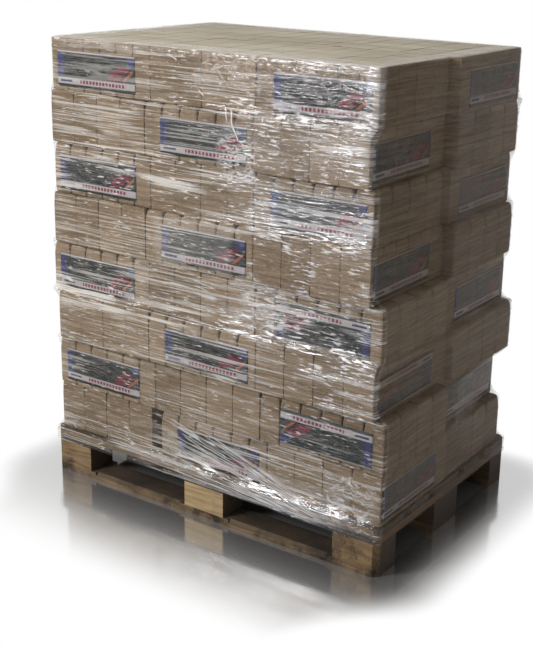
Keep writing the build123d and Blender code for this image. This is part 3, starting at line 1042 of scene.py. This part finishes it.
def film_marks_group():
    """A crease is 1 within its half width of a line from point to point. A patch is 1 inside
    its edges, which a noise moves. The fan's lines are crests of a noise of the angle about
    the point where the film was pulled together, low at the near corner."""
    tree, given, result = effect_group(
        "film marks",
        {"Vector": "vector"},
        {"Marks": "value", "Milk": "value", "Taut": "value"},
    )
    vector = given.outputs["Vector"]
    ragged = flat_cloud(vector, 24, 3)
    shift = times_plus(ragged, 0.03, -0.015)
    ragged_place = of_vectors("ADD", vector, paired(shift, shift))
    ragged_lap, ragged_climb, _ = axes(ragged_place)
    beside_ease, above_ease = 0.012, 0.006

    def patches(boxes):
        found = []
        for left, right, low, high, strength in boxes:
            sides = (
                ramp(ragged_lap, left - beside_ease, left + beside_ease),
                ramp(ragged_lap, right + beside_ease, right - beside_ease),
                ramp(ragged_climb, low - above_ease, low + above_ease),
                ramp(ragged_climb, high + above_ease, high - above_ease),
            )
            found.append(product(*sides, strength))
        return largest(*found)

    crossing = []
    for turn, scale in ((0.7, (18, 130, 1)), (-0.5, (16, 150, 1)), (0.15, (8, 120, 1))):
        laid = swung(ragged_place, turn)
        part = ramp(flat_cloud(laid, (26, 50, 1), 1, (4, 7, 0)), 0.48, 0.60)
        crossing.append(times(crest_of(flat_cloud(laid, scale, 1), 0.84, 0.98), part))
    marks = [times(largest(*crossing), patches(crumpled))]
    for start, stop, half_width, strength in creases:
        across, up = stop[0] - start[0], stop[1] - start[1]
        length = float(np.hypot(across, up))
        across, up = across / length, up / length
        off = of_vectors("SUBTRACT", vector, (*start, 0))
        ahead = of_vectors("DOT_PRODUCT", off, (across, up, 0), "Value")
        beside = of_vectors("DOT_PRODUCT", off, (-up, across, 0), "Value")
        beside = calc("ABSOLUTE", times_plus(shift, 0.25, beside))
        ends = ramp(ahead, 0.0, 0.1 * length), ramp(ahead, length, 0.85 * length)
        marks.append(product(ramp(beside, half_width, half_width / 3), *ends, strength))
    lap, climb, _ = axes(vector)
    beside = calc("SUBTRACT", fan_point[0], lap)
    above = calc("SUBTRACT", climb, fan_point[1])
    angle, away = calc("ARCTAN2", above, beside), distance(above, beside)
    rays = []
    for turns, reach, weight, thin in ((75, 2.5, 0.75, 0.78), (42, 4.0, 1.0, 0.84)):
        polar = paired(times(away, reach), times(angle, turns))
        part = ramp(flat_cloud(polar, (2.0, 1, 1), 1, (8, 3, 0)), 0.42, 0.56)
        rays.append(product(crest_of(flat_cloud(polar, 1.0, 1), thin, 0.97), weight, part))
    edges = (
        ramp(angle, 0.0, 0.05),
        ramp(angle, 0.42, 0.26),
        ramp(away, fan_reach[0], fan_reach[0] + 0.08),
        ramp(away, fan_reach[1], fan_reach[1] - 0.35),
    )
    marks.append(product(largest(*rays), *edges))
    milk = times(patches(milky), times_plus(ragged, 0.9, 0.55))
    feed(result, Marks=largest(*marks), Milk=milk, Taut=patches(taut))
    return tree


wrap_streaks = wrap_streaks_group()
film_marks = film_marks_group()


def film_material(name, haze, line_strength, crumple_strength):
    """Clear film: it covers by a little haze, more along wrinkle lines and in crumples, and what
    covers is part mirror, so that lamps glint along the wrinkles. The rest of that cover is pale
    diffuse colour, a painted highlight along the wrinkles."""
    made, tree, shader, place = new_material(name, Specular_IOR_Level=0.2)
    uv = add_node(tree, "ShaderNodeUVMap", uv_map="wrap").outputs[0]
    gather = add_node(tree, "ShaderNodeAttribute", attribute_name="gather").outputs["Fac"]
    streaks = use_group(wrap_streaks, Vector=uv, Gather=gather)
    cover_and_highlight = largest(
        times(streaks["Lines"], line_strength), times(streaks["Crumple"], crumple_strength)
    )
    # On the right end most wrinkle lines, with their painted highlight, are left out, and a brown
    # veil of painted shade darkens the unlit end; the left of the front is warm
    lap = axes(uv)[0]
    on_end = times(ramp(lap, 1.165, 1.185), ramp(lap, 1.935, 1.915))
    marks = use_group(film_marks, Vector=uv)
    wrinkled = calc("SUBTRACT", 1.0, marks["Taut"])
    cover_and_highlight = product(cover_and_highlight, times_plus(on_end, -0.82, 1.0), wrinkled)
    cover_and_highlight = largest(cover_and_highlight, marks["Marks"])
    edge_on = add_node(tree, "ShaderNodeFresnel", {"IOR": 1.5}).outputs[0]
    veil = times_plus(edge_on, 0.10, times_plus(gather, 0.04, haze))
    # On the right end the veil thickens to carry the painted shade
    veil = times_plus(on_end, 0.29, calc("ADD", marks["Milk"], veil))
    alpha = calc("MINIMUM", calc("ADD", cover_and_highlight, veil, clamp=True), 0.93)
    warm = blend_colour(ramp(lap, 0.40, 0.85), (0.86, 0.79, 0.68, 1), (0.86, 0.85, 0.87, 1))
    cast = ramp(streaks["Hue"], 0.42, 0.58)
    cast = blend_colour(cast, (0.90, 0.81, 0.77, 1), (0.78, 0.86, 0.92, 1))
    # The veil's brown, broken by ripple lines, is painted shade of the unlit end
    ripple = ramp(flat_cloud(uv, (2.2, 95, 1), 2, (6, 2, 0)), 0.40, 0.60)
    dust_and_shade = blend_colour(ripple, (0.100, 0.048, 0.012, 1), (0.235, 0.150, 0.070, 1))
    dusty_and_shaded = times(on_end, ramp(cover_and_highlight, 0.30, 0.04))
    tint = blend_colour(dusty_and_shaded, blend_colour(0.5, warm, cast), dust_and_shade)
    metal = times_plus(ramp(cover_and_highlight, 0.02, 0.6), -0.1, 0.25)
    metal = times(metal, calc("SUBTRACT", 1.0, on_end))
    feed(shader, Alpha=alpha, Base_Color=tint, Metallic=metal)
    feed(shader, Roughness=times_plus(streaks["Lines"], 0.06, 0.10))
    feed(shader, Normal=bumped(streaks["Height"], 0.0030))
    return made


wound_film = film_material("wound film", 0.010, 0.85, 0.66)
passes = (
    ("film_pass_low", 0.099, 0.640, 0.010, 0.05, 124, 0.0, 11),
    ("film_pass_middle", 0.520, 1.040, 0.07, 0.07, 116, 0.0008, 12),
    ("film_pass_top", 0.930, 1.448, 0.06, 0.012, 124, 0.0016, 13),
)
for name, low, high, low_tilt, high_tilt, rows, lift, seed in passes:
    film = film_pass(name, low, high, low_tilt, high_tilt, rows, lift, seed)
    film.data.materials.append(wound_film)
    # So clear a skin keeps next to no light from the packs
    film.visible_shadow = False
    film.visible_diffuse = False
    bpy.context.collection.objects.link(film)
    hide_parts("stretch_film")
    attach(film, "root")

# Floor, light and camera
# A pale studio floor with a faint sheen. One tall soft lamp stands to the left of the camera
# and glints along the film; a wide one hangs overhead, and the room fills the rest.
floor_mesh = bpy.data.meshes.new("studio_floor")
floor_half = 14.0
floor_mesh.from_pydata(
    [
        (-floor_half, -floor_half, 0),
        (floor_half, -floor_half, 0),
        (floor_half, floor_half, 0),
        (-floor_half, floor_half, 0),
    ],
    [],
    [(0, 1, 2, 3)],
)
studio_floor = bpy.data.objects.new("studio_floor", floor_mesh)
bpy.context.collection.objects.link(studio_floor)
floor_paint, tree, shader, place = new_material("floor paint", Specular_IOR_Level=0.35)
tone = ramp(cloud(place, 1.5, 2), 0.3, 0.7)
floor_colour = blend_colour(tone, (0.88, 0.88, 0.88, 1), (0.90, 0.90, 0.90, 1))
feed(shader, Roughness=times_plus(tone, 0.02, 0.06))
# Away from the load the floor runs into the white backdrop, the shadow first and then the
# mirrored image. Distances are from the pallet's outline.
spot = axes(place)
beyond = []
for axis, half in ((0, 0.58), (1, 0.38)):
    away = calc("SUBTRACT", calc("ABSOLUTE", spot[axis]), half)
    beyond.append(calc("MAXIMUM", away, 0.0))
from_load = distance(*beyond)
# Near the load the floor's colour is darkened to grey, a painted contact shadow that fades out
# over 0.45 m
floor_colour = blend_colour(ramp(from_load, 0.0, 0.45), (0.22, 0.22, 0.22, 1), floor_colour)
feed(shader, Base_Color=floor_colour)


def rays_seen(tree):
    """1 for rays from the camera, and 1 for those and the ones off or through something."""
    path = add_node(tree, "ShaderNodeLightPath").outputs
    return path["Is Camera Ray"], largest(
        path["Is Camera Ray"], path["Is Glossy Ray"], path["Is Transmission Ray"]
    )


def mixed(share, first, second):
    """The first shader with its share of the second."""
    tree = first.id_data
    return add_node(tree, "ShaderNodeMixShader", {0: share, 1: first, 2: second}).outputs[0]


from_camera, seen = rays_seen(tree)
white = add_node(tree, "ShaderNodeEmission", {"Color": (1, 1, 1, 1), "Strength": 1.0})
beside = ramp(calc("ABSOLUTE", spot[0]), 0.72, 0.50)
in_front = times(beside, ramp(spot[1], -0.34, -0.42))
fade = times(from_load, times_plus(in_front, -0.48, 1.0))
unshaded = calc("POWER", ramp(fade, 0.0, 0.24), 1.9)
floor_mix = mixed(times(unshaded, seen), shader.outputs[0], white.outputs[0])
polish = add_node(tree, "ShaderNodeBsdfGlossy", {"Color": (1, 1, 1, 1), "Roughness": 0.12})
mirrored = times(times_plus(unshaded, -0.52, 0.52), ramp(from_load, 0.0, 0.015))
floor_mix = mixed(times(mirrored, from_camera), floor_mix, polish.outputs[0])
tree.links.new(floor_mix, tree.nodes["Material Output"].inputs["Surface"])
floor_mesh.materials.append(floor_paint)


def soft_lamp(name, place, aim, width, height, power):
    """A rectangular lamp at place that looks at aim."""
    data = bpy.data.lights.new(name, "AREA")
    data.shape = "RECTANGLE"
    data.size, data.size_y, data.energy = width, height, power
    lamp = bpy.data.objects.new(name, data)
    lamp.location = place
    away = np.array(place) - np.array(aim)
    flat = np.hypot(away[0], away[1])
    lamp.rotation_euler = (np.arctan2(flat, away[2]), 0, np.arctan2(away[0], -away[1]))
    bpy.context.collection.objects.link(lamp)
    return lamp


soft_lamp("tall lamp", (-1.55, -3.10, 2.75), (0, -0.3, 0.75), 1.0, 1.6, 96)
soft_lamp("overhead lamp", (-0.3, -0.4, 3.6), (0, 0, 0), 2.4, 1.8, 26)

world = bpy.data.worlds.new("studio")
bpy.context.scene.world = world
world.use_nodes = True
tree = world.node_tree
tree.nodes.clear()
room = add_node(tree, "ShaderNodeBackground", {"Color": (1, 0.97, 0.92, 1), "Strength": 0.17})
backdrop = add_node(tree, "ShaderNodeBackground", {"Color": (1, 1, 1, 1), "Strength": 1.0})
chosen = mixed(rays_seen(tree)[1], room.outputs[0], backdrop.outputs[0])
add_node(tree, "ShaderNodeOutputWorld", {0: chosen})

# The camera stands right of the load's front, a little above its top, as in the photograph.
camera_turn, camera_rise, camera_roll = np.radians((34.03, 17.25, 1.21))
photo_wide, photo_high = 533, 647
focal_pixels, centre_x, centre_y = 1212.4, 291.85, 296.11
camera_data = bpy.data.cameras.new("photo camera")
camera = bpy.data.objects.new("photo camera", camera_data)
camera.location = (2.03779, -2.96974, 1.71579)
camera.rotation_mode = "XYZ"
bpy.context.collection.objects.link(camera)
bpy.context.scene.camera = camera
back = np.array(
    [
        np.sin(camera_turn) * np.cos(camera_rise),
        -np.cos(camera_turn) * np.cos(camera_rise),
        np.sin(camera_rise),
    ]
)
right = np.cross((0, 0, 1), back)
right /= np.linalg.norm(right)
upward = np.cross(back, right)
rolled_right = np.cos(camera_roll) * right + np.sin(camera_roll) * upward
rolled_up = -np.sin(camera_roll) * right + np.cos(camera_roll) * upward
turned = np.eye(4)
turned[:3, 0], turned[:3, 1], turned[:3, 2] = rolled_right, rolled_up, back
turned[:3, 3] = camera.location
camera.matrix_world = Matrix(turned.tolist())
camera_data.sensor_width = 36
camera_data.lens = focal_pixels / photo_high * camera_data.sensor_width
camera_data.shift_x = (photo_wide / 2 - centre_x) / photo_high
camera_data.shift_y = (centre_y - photo_high / 2) / photo_high
camera_data.clip_end = 60

bpy.context.scene.view_settings.view_transform = "Standard"
